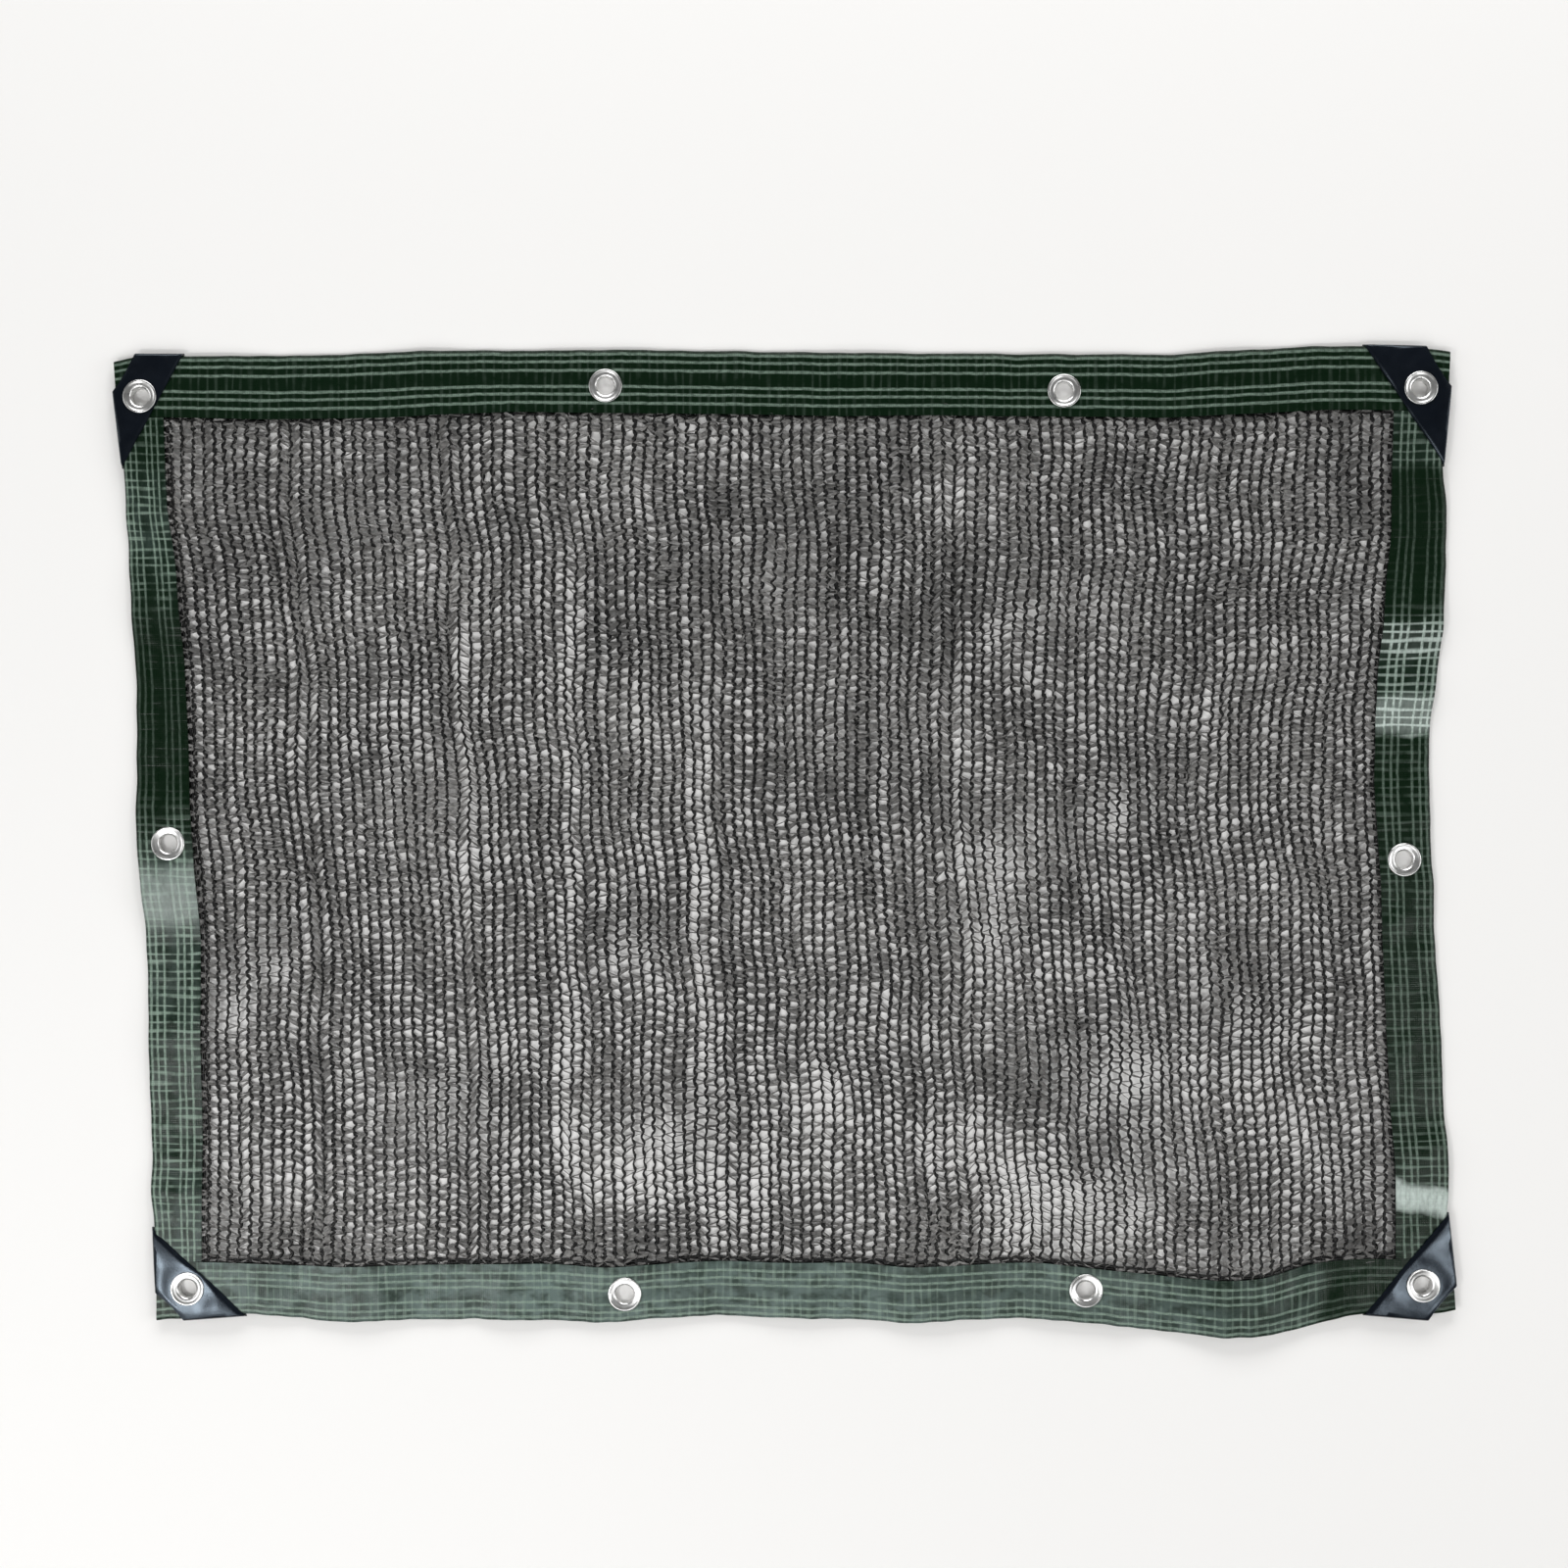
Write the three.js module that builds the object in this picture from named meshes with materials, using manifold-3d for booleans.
// Garden shade cloth, laid out on a flat surface: a black knitted net, bound all round with a folded green tape, with a
// plastic patch over each corner and ten metal eyelets. Millimetres, +X to the right, +Y to the top edge, +Z up.
// The net and the tapes share one bent grid. u runs from the left edge to the right one and v from the bottom edge to the
// top one, both from 0 to 1, so that the layers lie over each other at the same distance whatever the folds do.
import * as THREE from "three";
import { mergeVertices } from "three/addons/utils/BufferGeometryUtils.js";
import Module from "manifold-3d";

const wasm = await Module();
wasm.setup();

// ---- Driving sizes, mm ----
const GAP = 0.3; // between pieces
const TAPE = 1.0; // thickness of one leg of the tape
const KNIT = 1.2; // thickness of the net
const KNIT_LIFT = TAPE + GAP; // the net's underside over the tape's
const BOUND = 2 * TAPE + 2 * GAP + KNIT; // the edge, folded tape and net together
const PATCH = 1.2; // thickness of a patch's plates
const PATCH_WALL = 1.0; // where a patch folds over the edge
const FLANGE = 1.0; // thickness of an eyelet's flange
const HOLE_R = 6.4; // an eyelet's hole
const BARREL_R = 7.1;
const CUT_R = 7.4; // the hole in cloth and patch
const FLANGE_R = 12.4; // the eyelet's face
const WASHER_R = 12.0; // its back
const ROUND = 16; // facets round an eyelet
const EYELET_SEAT = FLANGE + GAP; // the tape's underside at an edge eyelet
const CORNER_SEAT = FLANGE + GAP + PATCH + GAP; // and in a corner patch
const FADE_CORNER = 58; // how far from a corner the cloth comes down
const FADE_EYELET = 42; // and from an edge eyelet
const FADE_HEM = 45; // how far in from the tape the net comes down
const CLOTH_W = 990; // the cloth's width and height, which turn u and v into mm
const CLOTH_H = 712;

// ---- The four edges: place along the edge, outer edge of the tape, inner edge of the tape ----
const TOP = [
  { at: -497.5, edge: 354.6, inner: 313.5 },
  { at: -481.2, edge: 359.3, inner: 313.5 },
  { at: -461.4, edge: 359.2, inner: 313.5 },
  { at: -427.9, edge: 359.1, inner: 312.8 },
  { at: -394.2, edge: 359.5, inner: 312.1 },
  { at: -343.1, edge: 360.3, inner: 312.8 },
  { at: -292.0, edge: 362.1, inner: 313.5 },
  { at: -255.5, edge: 363.5, inner: 315.7 },
  { at: -204.4, edge: 363.9, inner: 317.9 },
  { at: -146.0, edge: 363.9, inner: 316.8 },
  { at: -73.0, edge: 363.9, inner: 316.5 },
  { at: -7.3, edge: 362.4, inner: 315.7 },
  { at: 36.5, edge: 361.7, inner: 314.3 },
  { at: 109.5, edge: 361.7, inner: 315.4 },
  { at: 189.8, edge: 361.0, inner: 314.3 },
  { at: 284.7, edge: 360.6, inner: 313.5 },
  { at: 335.8, edge: 363.2, inner: 315.7 },
  { at: 379.6, edge: 366.1, inner: 318.2 },
  { at: 401.5, edge: 367.2, inner: 319.3 },
  { at: 424.1, edge: 366.5, inner: 318.8 },
  { at: 452.6, edge: 365.8, inner: 318.6 },
  { at: 476.0, edge: 365.2, inner: 318.6 },
  { at: 494.6, edge: 362.4, inner: 318.6 },
];
const BOTTOM = [
  { at: -466.8, edge: -357.2, inner: -313.5 },
  { at: -450.9, edge: -356.0, inner: -313.5 },
  { at: -432.2, edge: -354.6, inner: -313.5 },
  { at: -398.9, edge: -352.0, inner: -314.6 },
  { at: -368.6, edge: -354.8, inner: -316.1 },
  { at: -332.1, edge: -358.8, inner: -317.6 },
  { at: -292.0, edge: -357.3, inner: -316.5 },
  { at: -240.9, edge: -356.6, inner: -315.7 },
  { at: -175.2, edge: -357.2, inner: -315.0 },
  { at: -131.4, edge: -359.5, inner: -318.4 },
  { at: -87.6, edge: -355.5, inner: -315.0 },
  { at: -43.8, edge: -353.7, inner: -313.2 },
  { at: 0.0, edge: -355.5, inner: -314.6 },
  { at: 51.1, edge: -356.2, inner: -314.3 },
  { at: 91.2, edge: -359.5, inner: -317.9 },
  { at: 146.0, edge: -356.2, inner: -315.4 },
  { at: 189.8, edge: -356.0, inner: -313.9 },
  { at: 233.6, edge: -359.5, inner: -318.6 },
  { at: 284.7, edge: -365.7, inner: -324.5 },
  { at: 324.8, edge: -369.7, inner: -327.4 },
  { at: 357.7, edge: -369.4, inner: -325.9 },
  { at: 394.2, edge: -361.0, inner: -315.0 },
  { at: 416.1, edge: -355.4, inner: -312.1 },
  { at: 430.0, edge: -351.6, inner: -311.3 },
  { at: 454.1, edge: -352.4, inner: -311.3 },
  { at: 480.6, edge: -353.2, inner: -311.3 },
  { at: 498.5, edge: -349.5, inner: -311.3 },
];
const LEFT = [
  { at: -357.2, edge: -465.6, inner: -432.2 },
  { at: -338.1, edge: -465.2, inner: -432.2 },
  { at: -316.5, edge: -465.7, inner: -432.2 },
  { at: -281.6, edge: -467.9, inner: -432.2 },
  { at: -268.1, edge: -470.1, inner: -432.2 },
  { at: -228.9, edge: -470.1, inner: -432.2 },
  { at: -177.8, edge: -471.9, inner: -432.9 },
  { at: -126.7, edge: -472.3, inner: -432.9 },
  { at: -75.6, edge: -474.1, inner: -433.6 },
  { at: -39.1, edge: -477.4, inner: -435.8 },
  { at: -2.6, edge: -481.1, inner: -439.5 },
  { at: 41.2, edge: -481.4, inner: -442.0 },
  { at: 85.0, edge: -481.1, inner: -443.5 },
  { at: 128.8, edge: -482.5, inner: -445.7 },
  { at: 172.6, edge: -485.1, inner: -449.7 },
  { at: 201.8, edge: -486.5, inner: -451.9 },
  { at: 238.3, edge: -489.1, inner: -457.7 },
  { at: 269.7, edge: -489.5, inner: -459.2 },
  { at: 312.8, edge: -494.5, inner: -460.6 },
  { at: 331.3, edge: -496.7, inner: -460.6 },
  { at: 354.6, edge: -497.5, inner: -460.6 },
];
const RIGHT = [
  { at: -349.5, edge: 498.5, inner: 454.1 },
  { at: -330.3, edge: 497.8, inner: 454.1 },
  { at: -311.3, edge: 495.7, inner: 454.1 },
  { at: -275.0, edge: 491.6, inner: 454.1 },
  { at: -258.1, edge: 494.1, inner: 454.1 },
  { at: -236.2, edge: 493.5, inner: 453.3 },
  { at: -192.4, edge: 490.6, inner: 450.4 },
  { at: -148.6, edge: 489.1, inner: 448.2 },
  { at: -104.8, edge: 486.2, inner: 446.4 },
  { at: -68.3, edge: 484.0, inner: 444.6 },
  { at: -31.8, edge: 482.7, inner: 443.5 },
  { at: 4.7, edge: 480.0, inner: 440.9 },
  { at: 41.2, edge: 480.0, inner: 438.4 },
  { at: 70.4, edge: 479.8, inner: 439.5 },
  { at: 92.3, edge: 480.7, inner: 439.5 },
  { at: 121.5, edge: 485.4, inner: 440.9 },
  { at: 150.7, edge: 488.7, inner: 444.2 },
  { at: 187.2, edge: 491.7, inner: 446.8 },
  { at: 227.4, edge: 493.1, inner: 451.6 },
  { at: 252.9, edge: 492.2, inner: 451.1 },
  { at: 275.5, edge: 488.5, inner: 451.1 },
  { at: 318.6, edge: 492.5, inner: 452.6 },
  { at: 339.1, edge: 494.0, inner: 452.6 },
  { at: 362.4, edge: 494.6, inner: 452.6 },
];

// ---- Eyelets. lift: how far the eyelet's back stands off the surface. from, to: the flat stretch of edge round it ----
const EYELETS = [
  { name: "top_1", side: "top", x: -132.6, y: 337.0, lift: 0, from: 0.3435, to: 0.3852 },
  { name: "top_2", side: "top", x: 208.0, y: 333.2, lift: 0, from: 0.6935, to: 0.7335 },
  { name: "bottom_1", side: "bottom", x: -118.3, y: -337.6, lift: 0, from: 0.3435, to: 0.3852 },
  { name: "bottom_2", side: "bottom", x: 224.1, y: -334.7, lift: 1.5, from: 0.6935, to: 0.7335 },
  { name: "left", side: "left", x: -457.0, y: -3.0, lift: 1.5, from: 0.4455, to: 0.522 },
  { name: "right", side: "right", x: 460.6, y: -15.0, lift: 0, from: 0.4455, to: 0.522 },
];

// ---- Corner patches. clip_x, clip_y: where the clipped tip meets the two edges. end_x, end_y: the ends of the long slant ----
const CORNERS = [
  {
    name: "top_left",
    clip_x: [-481.2, 361.0],
    end_x: [-445.3, 360.8],
    end_y: [-491.9, 275.6],
    clip_y: [-498.6, 331.3],
    eyelet: [-477.6, 328.6],
  },
  {
    name: "top_right",
    clip_x: [476.3, 366.8],
    end_x: [430.0, 367.9],
    end_y: [490.3, 277.0],
    clip_y: [495.8, 335.4],
    eyelet: [472.1, 334.9],
  },
  {
    name: "bottom_left",
    clip_x: [-444.9, -357.2],
    end_x: [-398.9, -353.7],
    end_y: [-469.2, -287.6],
    clip_y: [-467.0, -335.4],
    eyelet: [-442.4, -333.0],
  },
  {
    name: "bottom_right",
    clip_x: [477.4, -357.3],
    end_x: [430.0, -353.2],
    end_y: [493.6, -276.7],
    clip_y: [499.6, -330.3],
    eyelet: [473.8, -330.7],
  },
];

// ---- Folds: a crest at x, y that rises by rise. It falls to nothing over fore (towards -Y), aft (towards +Y), and side
// both ways along X, all turned by turn degrees ----
const FOLDS = [
  { at: "right tape, upper crease", x: 468, y: 160, rise: 5.0, fore: 24, aft: 42, side: 62, turn: 0 },
  { at: "right tape, middle crease", x: 466, y: 104, rise: 4.2, fore: 20, aft: 30, side: 52, turn: 0 },
  { at: "right tape, lower crease", x: 474, y: -244, rise: 5.0, fore: 40, aft: 46, side: 56, turn: 0 },
  { at: "left tape, upper wave", x: -468, y: 176, rise: 3.2, fore: 46, aft: 46, side: 60, turn: 0 },
  { at: "left tape, lower wave", x: -452, y: -150, rise: 3.4, fore: 58, aft: 40, side: 58, turn: 0 },
  { at: "bottom tape, first wave", x: -316, y: -340, rise: 3.6, fore: 70, aft: 80, side: 52, turn: 0 },
  { at: "bottom tape, second wave", x: -198, y: -340, rise: 3.0, fore: 70, aft: 62, side: 44, turn: 8 },
  { at: "bottom tape, third wave", x: 16, y: -340, rise: 2.6, fore: 70, aft: 64, side: 54, turn: 0 },
  { at: "bottom tape, fourth wave", x: 118, y: -340, rise: 4.6, fore: 70, aft: 88, side: 62, turn: -6 },
  { at: "bottom tape, great wave", x: 338, y: -346, rise: 6.4, fore: 80, aft: 92, side: 66, turn: 10 },
  { at: "top tape, first wave", x: -268, y: 340, rise: 3.2, fore: 66, aft: 80, side: 46, turn: 0 },
  { at: "top tape, second wave", x: 52, y: 340, rise: 2.6, fore: 60, aft: 80, side: 66, turn: 0 },
  { at: "top tape, third wave", x: 330, y: 340, rise: 3.4, fore: 62, aft: 80, side: 58, turn: 0 },
  { at: "net, right crease arc", x: 176, y: -2, rise: 5.2, fore: 42, aft: 40, side: 84, turn: -12 },
  { at: "net, right hollow's rim", x: 152, y: -62, rise: 4.2, fore: 38, aft: 40, side: 58, turn: 10 },
  { at: "net, right upper crease", x: 254, y: 34, rise: 4.0, fore: 40, aft: 38, side: 70, turn: 28 },
  { at: "net, upper right crease", x: 204, y: 168, rise: 3.6, fore: 40, aft: 44, side: 96, turn: 6 },
  { at: "net, middle bump", x: -104, y: -74, rise: 4.0, fore: 44, aft: 44, side: 64, turn: 0 },
  { at: "net, left slanting crease", x: -398, y: -96, rise: 5.0, fore: 40, aft: 42, side: 92, turn: 52 },
  { at: "net, lower left bump", x: -258, y: -204, rise: 4.2, fore: 54, aft: 58, side: 86, turn: 0 },
  { at: "net, lower middle bump", x: -82, y: -206, rise: 4.0, fore: 50, aft: 54, side: 74, turn: 0 },
  { at: "net, lower right bump", x: 222, y: -176, rise: 5.0, fore: 56, aft: 58, side: 92, turn: -8 },
  { at: "net, lowest right bump", x: 268, y: -246, rise: 4.6, fore: 50, aft: 50, side: 80, turn: 8 },
  { at: "net, far right bump", x: 334, y: -116, rise: 3.6, fore: 56, aft: 60, side: 62, turn: 0 },
  { at: "net, upper left bump", x: -330, y: 232, rise: 3.2, fore: 56, aft: 60, side: 76, turn: 0 },
  { at: "net, upper middle swell", x: -20, y: 196, rise: 3.0, fore: 74, aft: 78, side: 104, turn: 0 },
  { at: "net, left swell", x: -268, y: 30, rise: 3.0, fore: 62, aft: 66, side: 84, turn: 0 },
  { at: "net, centre swell", x: 40, y: 66, rise: 2.6, fore: 52, aft: 56, side: 90, turn: -14 },
];

// ---- Grid lines. The outer and inner edges of the tapes are at 0, TAPE_*, and 1 ----
const TAPE_L = 0.036,
  TAPE_R = 0.956,
  TAPE_B = 0.057,
  TAPE_T = 0.94;
const CORNER_L = 0.0703,
  CORNER_R = 0.929,
  CORNER_B = 0.106,
  CORNER_T = 0.88;
const TIP_X = 0.0165; // the tape's corner tip, where the outline turns
const BUTT_Y = 0.0006; // tapes that meet end to edge stop this far apart
const HEM = 0.21; // share of the tape's width that the net reaches into, which keeps it clear of the eyelets
const HEM_LEFT = 0.1; // and at the left, where the edge bows in and the eyelet sits close to the net

// even lines from a to b, both included
function lines(a, b, cells) {
  return Array.from({ length: cells + 1 }, (_, i) => a + ((b - a) * i) / cells);
}
const INNER_U = [
  ...lines(CORNER_L, 0.3435, 8),
  ...lines(0.3852, 0.6935, 9),
  ...lines(0.7335, CORNER_R, 6),
];
const INNER_V = [
  ...lines(CORNER_B, 0.168, 2),
  ...lines(0.214, 0.4455, 5),
  0.484,
  ...[0.522, 0.56, 0.593, 0.617, 0.643, 0.672, 0.699, 0.722, 0.755, 0.8, 0.84],
  CORNER_T,
];
const NET_U = [
  TAPE_L * (1 - HEM_LEFT),
  TAPE_L,
  ...INNER_U,
  TAPE_R,
  TAPE_R + (1 - TAPE_R) * HEM,
];
const NET_V = [
  TAPE_B * (1 - HEM),
  TAPE_B,
  ...INNER_V,
  TAPE_T,
  TAPE_T + (1 - TAPE_T) * HEM,
];

// ---- The bent grid ----
function lookUp(rows, f, column) {
  const a = rows[0].at,
    b = rows[rows.length - 1].at,
    s = a + (b - a) * f;
  let i = 1;
  while (i < rows.length - 1 && rows[i].at < s) i++;
  const p = rows[i - 1],
    q = rows[i],
    t = (s - p.at) / (q.at - p.at);
  return p[column] + (q[column] - p[column]) * t;
}
function through(stops, values, f) {
  let i = 1;
  while (i < stops.length - 1 && stops[i] < f) i++;
  const t = (f - stops[i - 1]) / (stops[i] - stops[i - 1]);
  return values[i - 1] + (values[i] - values[i - 1]) * t;
}
function place(u, v) {
  const x = [
    lookUp(LEFT, v, "edge"),
    lookUp(LEFT, v, "inner"),
    lookUp(RIGHT, v, "inner"),
    lookUp(RIGHT, v, "edge"),
  ];
  const y = [
    lookUp(BOTTOM, u, "edge"),
    lookUp(BOTTOM, u, "inner"),
    lookUp(TOP, u, "inner"),
    lookUp(TOP, u, "edge"),
  ];
  return [
    through([0, TAPE_L, TAPE_R, 1], x, u),
    through([0, TAPE_B, TAPE_T, 1], y, v),
  ];
}
const smooth = (t) => {
  const c = Math.min(1, Math.max(0, t));
  return c * c * (3 - 2 * c);
};
// 1 from a to b, falling to 0 over reach mm outside; size turns the parameter into mm
function plateau(f, a, b, reach, size) {
  const off = Math.max(a - f, f - b, 0) * size;
  return 1 - smooth(off / reach);
}
function fold(row, x, y) {
  const c = Math.cos((row.turn * Math.PI) / 180),
    s = Math.sin((row.turn * Math.PI) / 180);
  const along = (c * (x - row.x) + s * (y - row.y)) / row.side;
  const across = -s * (x - row.x) + c * (y - row.y);
  const away = across / (across < 0 ? row.fore : row.aft);
  if (Math.abs(along) >= 1 || Math.abs(away) >= 1) return 0;
  return (
    row.rise *
    Math.cos((along * Math.PI) / 2) ** 2 *
    Math.cos((away * Math.PI) / 2) ** 2
  );
}
// flat seats round the eyelets and under the patches, as [share, height]
function seats(u, v) {
  const found = [];
  for (const [u0, u1] of [[-1, CORNER_L], [CORNER_R, 2]])
    for (const [v0, v1] of [[-1, CORNER_B], [CORNER_T, 2]])
      found.push([
        plateau(u, u0, u1, FADE_CORNER, CLOTH_W) *
          plateau(v, v0, v1, FADE_CORNER, CLOTH_H),
        CORNER_SEAT,
      ]);
  for (const e of EYELETS) {
    const [along, size] =
      e.side === "top" || e.side === "bottom" ? [u, CLOTH_W] : [v, CLOTH_H];
    const across = {
      top: plateau(v, TAPE_T, 2, FADE_EYELET, CLOTH_H),
      bottom: plateau(v, -1, TAPE_B, FADE_EYELET, CLOTH_H),
      left: plateau(u, -1, TAPE_L, FADE_EYELET, CLOTH_W),
      right: plateau(u, TAPE_R, 2, FADE_EYELET, CLOTH_W),
    }[e.side];
    found.push([
      plateau(along, e.from, e.to, FADE_EYELET, size) * across,
      e.lift + EYELET_SEAT,
    ]);
  }
  return found;
}
// height of the lowest cloth layer's underside off the surface
function ground(u, v) {
  const [x, y] = place(u, v);
  let free = 1,
    z = 0;
  for (const [share, height] of seats(u, v)) {
    free *= 1 - share;
    z += share * height;
  }
  return z + free * FOLDS.reduce((sum, row) => sum + fold(row, x, y), 0);
}
// the same, straight across each tape from its outer edge to its inner one
function lie(u, v) {
  const across = (f, a, b, at) => {
    const t = (f - a) / (b - a);
    return at(a) * (1 - t) + at(b) * t;
  };
  if (v < TAPE_B) return across(v, 0, TAPE_B, (w) => ground(u, w));
  if (v > TAPE_T) return across(v, TAPE_T, 1, (w) => ground(u, w));
  if (u < TAPE_L) return across(u, 0, TAPE_L, (w) => ground(w, v));
  if (u > TAPE_R) return across(u, TAPE_R, 1, (w) => ground(w, v));
  return ground(u, v);
}
function netHeight(u, v) {
  const inside = Math.min(
    (u - TAPE_L) * CLOTH_W,
    (TAPE_R - u) * CLOTH_W,
    (v - TAPE_B) * CLOTH_H,
    (TAPE_T - v) * CLOTH_H,
  );
  return lie(u, v) + KNIT_LIFT * (1 - smooth(inside / FADE_HEM));
}

// ---- Solids ----
function solid(points, faces) {
  const make = (list) =>
    new wasm.Manifold(
      new wasm.Mesh({
        numProp: 3,
        vertProperties: Float32Array.from(points.flat()),
        triVerts: Uint32Array.from(list.flat()),
      }),
    );
  const made = make(faces);
  return made.volume() > 0 ? made : make(faces.map(([a, b, c]) => [a, c, b]));
}
function solidOfGeometry(geometry) {
  const bare = new THREE.BufferGeometry().setAttribute(
    "position",
    (geometry.index ? geometry.toNonIndexed() : geometry).getAttribute("position"),
  );
  const merged = mergeVertices(bare, 1e-4);
  const p = merged.getAttribute("position");
  const points = Array.from({ length: p.count }, (_, i) => [
    p.getX(i),
    p.getY(i),
    p.getZ(i),
  ]);
  const index = Array.from(merged.index.array);
  const faces = [];
  for (let i = 0; i < index.length; i += 3)
    if (new Set(index.slice(i, i + 3)).size === 3)
      faces.push(index.slice(i, i + 3));
  return solid(points, faces);
}
function geometryOf(made) {
  const m = made.getMesh(),
    position = new Float32Array(m.numVert * 3);
  for (let i = 0; i < m.numVert; i++)
    for (let k = 0; k < 3; k++)
      position[3 * i + k] = m.vertProperties[i * m.numProp + k];
  const g = new THREE.BufferGeometry()
    .setAttribute("position", new THREE.BufferAttribute(position, 3))
    .setIndex(new THREE.BufferAttribute(Uint32Array.from(m.triVerts), 1));
  g.computeVertexNormals();
  return g;
}
function post(x, y, r, z0, z1) {
  const g = new THREE.CylinderGeometry(r, r, z1 - z0, ROUND)
    .rotateX(Math.PI / 2)
    .translate(x, y, (z0 + z1) / 2);
  return solidOfGeometry(g);
}
function prism(corners, z0, z1) {
  const shape = new THREE.Shape(corners.map(([x, y]) => new THREE.Vector2(x, y)));
  const g = new THREE.ExtrudeGeometry(shape, {
    depth: z1 - z0,
    bevelEnabled: false,
    steps: 1,
  }).translate(0, 0, z0);
  return solidOfGeometry(g);
}

// The net: one sheet of even thickness over the grid.
function net() {
  const nu = NET_U.length,
    nv = NET_V.length,
    points = [],
    faces = [];
  for (const top of [0, 1])
    for (const v of NET_V)
      for (const u of NET_U) {
        const [x, y] = place(u, v);
        points.push([x, y, netHeight(u, v) + top * KNIT]);
      }
  const at = (i, j, top) => top * nu * nv + j * nu + i;
  for (let j = 0; j + 1 < nv; j++)
    for (let i = 0; i + 1 < nu; i++)
      for (const top of [0, 1]) {
        const [a, b, c, d] = [
          at(i, j, top),
          at(i + 1, j, top),
          at(i + 1, j + 1, top),
          at(i, j + 1, top),
        ];
        faces.push(...(top ? [[a, b, c], [a, c, d]] : [[a, c, b], [a, d, c]]));
      }
  const rim = [];
  for (let i = 0; i + 1 < nu; i++) rim.push([i, 0]);
  for (let j = 0; j + 1 < nv; j++) rim.push([nu - 1, j]);
  for (let i = nu - 1; i > 0; i--) rim.push([i, nv - 1]);
  for (let j = nv - 1; j > 0; j--) rim.push([0, j]);
  rim.forEach(([i, j], k) => {
    const [p, q] = rim[(k + 1) % rim.length];
    faces.push([at(i, j, 0), at(p, q, 0), at(p, q, 1)]);
    faces.push([at(i, j, 0), at(p, q, 1), at(i, j, 1)]);
  });
  return solid(points, faces);
}

// A tape's section: distance in from the outer edge (inner edge: null) and height over the underside.
const SECTION = [
  { in: null, up: 0 },
  { in: 0.9, up: 0 },
  { in: 0, up: 0.9 },
  { in: 0, up: BOUND - 0.9 },
  { in: 0.9, up: BOUND },
  { in: null, up: BOUND },
  { in: null, up: BOUND - TAPE },
  { in: 1.4, up: BOUND - TAPE },
  { in: 1.0, up: BOUND - 1.4 },
  { in: 1.0, up: 1.4 },
  { in: 1.4, up: TAPE },
  { in: null, up: TAPE },
];
const LONG = 40; // stands for the inner edge's distance where only the order counts
// outer(s) and inner(s) give [x, y, z] at a station; rising: the grid's diagonals start at the outer edge
function tape(stations, outer, inner, rising) {
  const points = [],
    faces = [],
    n = SECTION.length;
  for (const s of stations) {
    const o = new THREE.Vector3(...outer(s)),
      i = new THREE.Vector3(...inner(s)),
      wide = Math.hypot(i.x - o.x, i.y - o.y);
    for (const p of SECTION) {
      const q = o.clone().lerp(i, p.in === null ? 1 : p.in / wide);
      points.push([q.x, q.y, q.z + p.up]);
    }
  }
  const deep = (k) => SECTION[k].in ?? LONG;
  for (let s = 0; s + 1 < stations.length; s++)
    for (let k = 0; k < n; k++) {
      const m = (k + 1) % n,
        a = s * n + k,
        b = s * n + m,
        c = a + n,
        d = b + n;
      if (deep(k) < deep(m) === rising) faces.push([a, b, d], [a, d, c]);
      else faces.push([a, b, c], [b, d, c]);
    }
  const flat = SECTION.map((p, k) => new THREE.Vector2(deep(k), p.up));
  const cap = THREE.ShapeUtils.triangulateShape(flat, []);
  const last = (stations.length - 1) * n;
  for (const [a, b, c] of cap) {
    faces.push([a, b, c]);
    faces.push([last + a, last + c, last + b]);
  }
  return solid(points, faces);
}
const spot = (u, v) => [...place(u, v), lie(u, v)];
const ALONG_X = [TIP_X, TAPE_L, ...INNER_U, TAPE_R, 1 - 0.0185];
const ALONG_Y = [TAPE_B, ...INNER_V, TAPE_T];
const sides = {
  top: tape(
    [0, ...ALONG_X, 1],
    (u) => spot(u, 1),
    (u) => spot(u, TAPE_T),
    false,
  ),
  bottom: tape(
    [0, ...ALONG_X, 1],
    (u) => spot(u, 0),
    (u) => spot(u, TAPE_B),
    true,
  ),
  left: tape(
    [TAPE_B + BUTT_Y, ...ALONG_Y.slice(1, -1), TAPE_T - BUTT_Y],
    (v) => spot(0, v),
    (v) => spot(TAPE_L, v),
    true,
  ),
  right: tape(
    [TAPE_B + BUTT_Y, ...ALONG_Y.slice(1, -1), TAPE_T - BUTT_Y],
    (v) => spot(1, v),
    (v) => spot(TAPE_R, v),
    false,
  ),
};

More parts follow.
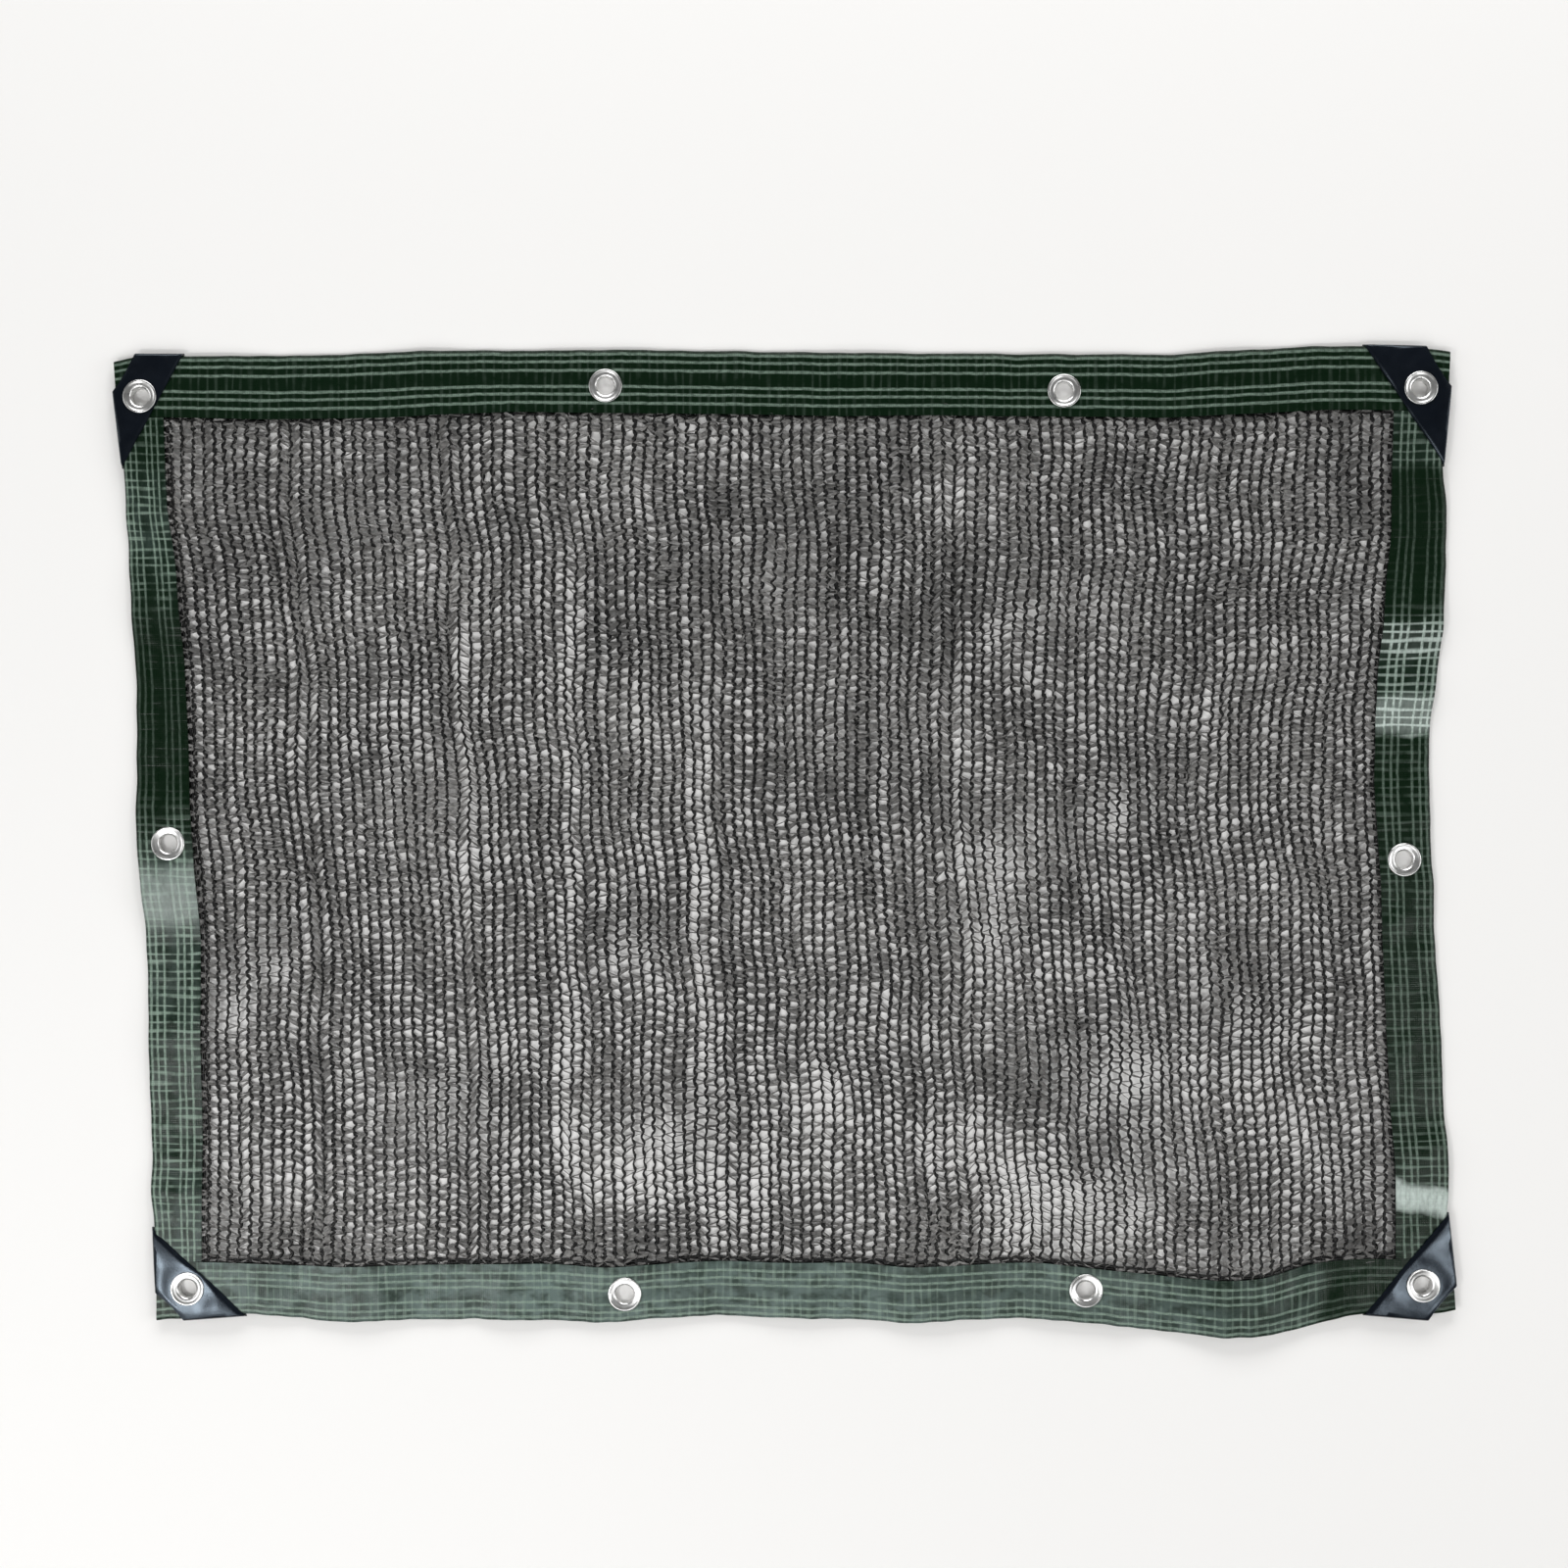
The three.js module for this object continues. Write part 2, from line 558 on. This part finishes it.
// A corner patch: two plates joined along the cloth's two edges, open along the slant and at the clipped tip.
function patch(row) {
  const z0 = FLANGE + GAP,
    z1 = CORNER_SEAT + BOUND + GAP + PATCH;
  const v = (p) => new THREE.Vector2(...p);
  const [cx, ex, ey, cy, eye] = [
    v(row.clip_x),
    v(row.end_x),
    v(row.end_y),
    v(row.clip_y),
    v(row.eyelet),
  ];
  // a leg's inner wall line, from before the clip to past the slant
  const inward = (from, to) => {
    const along = to.clone().sub(from).normalize();
    const normal = new THREE.Vector2(-along.y, along.x);
    if (normal.dot(eye.clone().sub(from)) < 0) normal.negate();
    return {
      start: from.clone().addScaledVector(normal, PATCH_WALL),
      along,
    };
  };
  const a = inward(cx, ex),
    b = inward(cy, ey);
  const t =
    ((b.start.x - a.start.x) * b.along.y - (b.start.y - a.start.y) * b.along.x) /
    (a.along.x * b.along.y - a.along.y * b.along.x);
  const tip = a.start.clone().addScaledVector(a.along, t);
  const farA = a.start.clone().addScaledVector(a.along, ex.distanceTo(cx) + 25);
  const farB = b.start.clone().addScaledVector(b.along, ey.distanceTo(cy) + 25);
  const far = farA.clone().add(farB).sub(tip);
  const outer = prism([cx, ex, ey, cy].map((p) => [p.x, p.y]), z0, z1);
  const room = prism(
    [tip, farA, far, farB].map((p) => [p.x, p.y]),
    z0 + PATCH,
    z1 - PATCH,
  );
  return outer.subtract(room).subtract(post(eye.x, eye.y, CUT_R, -5, 15));
}

// An eyelet: washer, barrel and domed face in one, with a flat ring on top.
function eyelet(x, y, low, high) {
  const profile = [
    [HOLE_R, low],
    [WASHER_R, low],
    [WASHER_R, low + FLANGE],
    [BARREL_R, low + FLANGE],
    [BARREL_R, high - FLANGE],
    [FLANGE_R, high - FLANGE],
    [FLANGE_R, high - 0.6],
    [FLANGE_R - 1.2, high],
    [HOLE_R + 1.0, high],
    [HOLE_R, high - 0.7],
    [HOLE_R, low],
  ].map(([r, z]) => new THREE.Vector2(r, z));
  const g = new THREE.LatheGeometry(profile, ROUND)
    .rotateX(Math.PI / 2)
    .translate(x, y, 0);
  return solidOfGeometry(g);
}

// ---- The object ----
const knit = new THREE.MeshStandardMaterial({ color: 0x3a3a3b, roughness: 0.6 });
const green = new THREE.MeshStandardMaterial({ color: 0x16301c, roughness: 0.45 });
const plastic = new THREE.MeshStandardMaterial({ color: 0x0d1116, roughness: 0.35 });
const nickel = new THREE.MeshStandardMaterial({
  color: 0xc9cacb,
  roughness: 0.22,
  metalness: 1,
});
const cloth = new THREE.Group();
function add(name, made, material) {
  const mesh = new THREE.Mesh(geometryOf(made), material.clone());
  mesh.name = name;
  cloth.add(mesh);
}
// every eyelet with its height; a post cuts its hole through the tape
const allEyelets = [
  ...EYELETS.map((e) => ({
    name: e.name,
    x: e.x,
    y: e.y,
    low: e.lift,
    high: e.lift + EYELET_SEAT + BOUND + GAP + FLANGE,
    owner: e.side,
  })),
  ...CORNERS.map((c) => ({
    name: c.name,
    x: c.eyelet[0],
    y: c.eyelet[1],
    low: 0,
    high: CORNER_SEAT + BOUND + GAP + PATCH + GAP + FLANGE,
    owner: c.name.split("_")[0],
  })),
];
for (const e of allEyelets)
  sides[e.owner] = sides[e.owner].subtract(post(e.x, e.y, CUT_R, -5, 20));
add("knit_panel", net(), knit);
for (const [side, made] of Object.entries(sides)) add("tape_" + side, made, green);
for (const c of CORNERS) add("patch_" + c.name, patch(c), plastic);
for (const e of allEyelets) add("eyelet_" + e.name, eyelet(e.x, e.y, e.low, e.high), nickel);

// the frame's origin is under the middle of the whole cloth
const box = new THREE.Box3().setFromObject(cloth);
cloth.position.set(-(box.min.x + box.max.x) / 2, -(box.min.y + box.max.y) / 2, -box.min.z);

export default cloth;
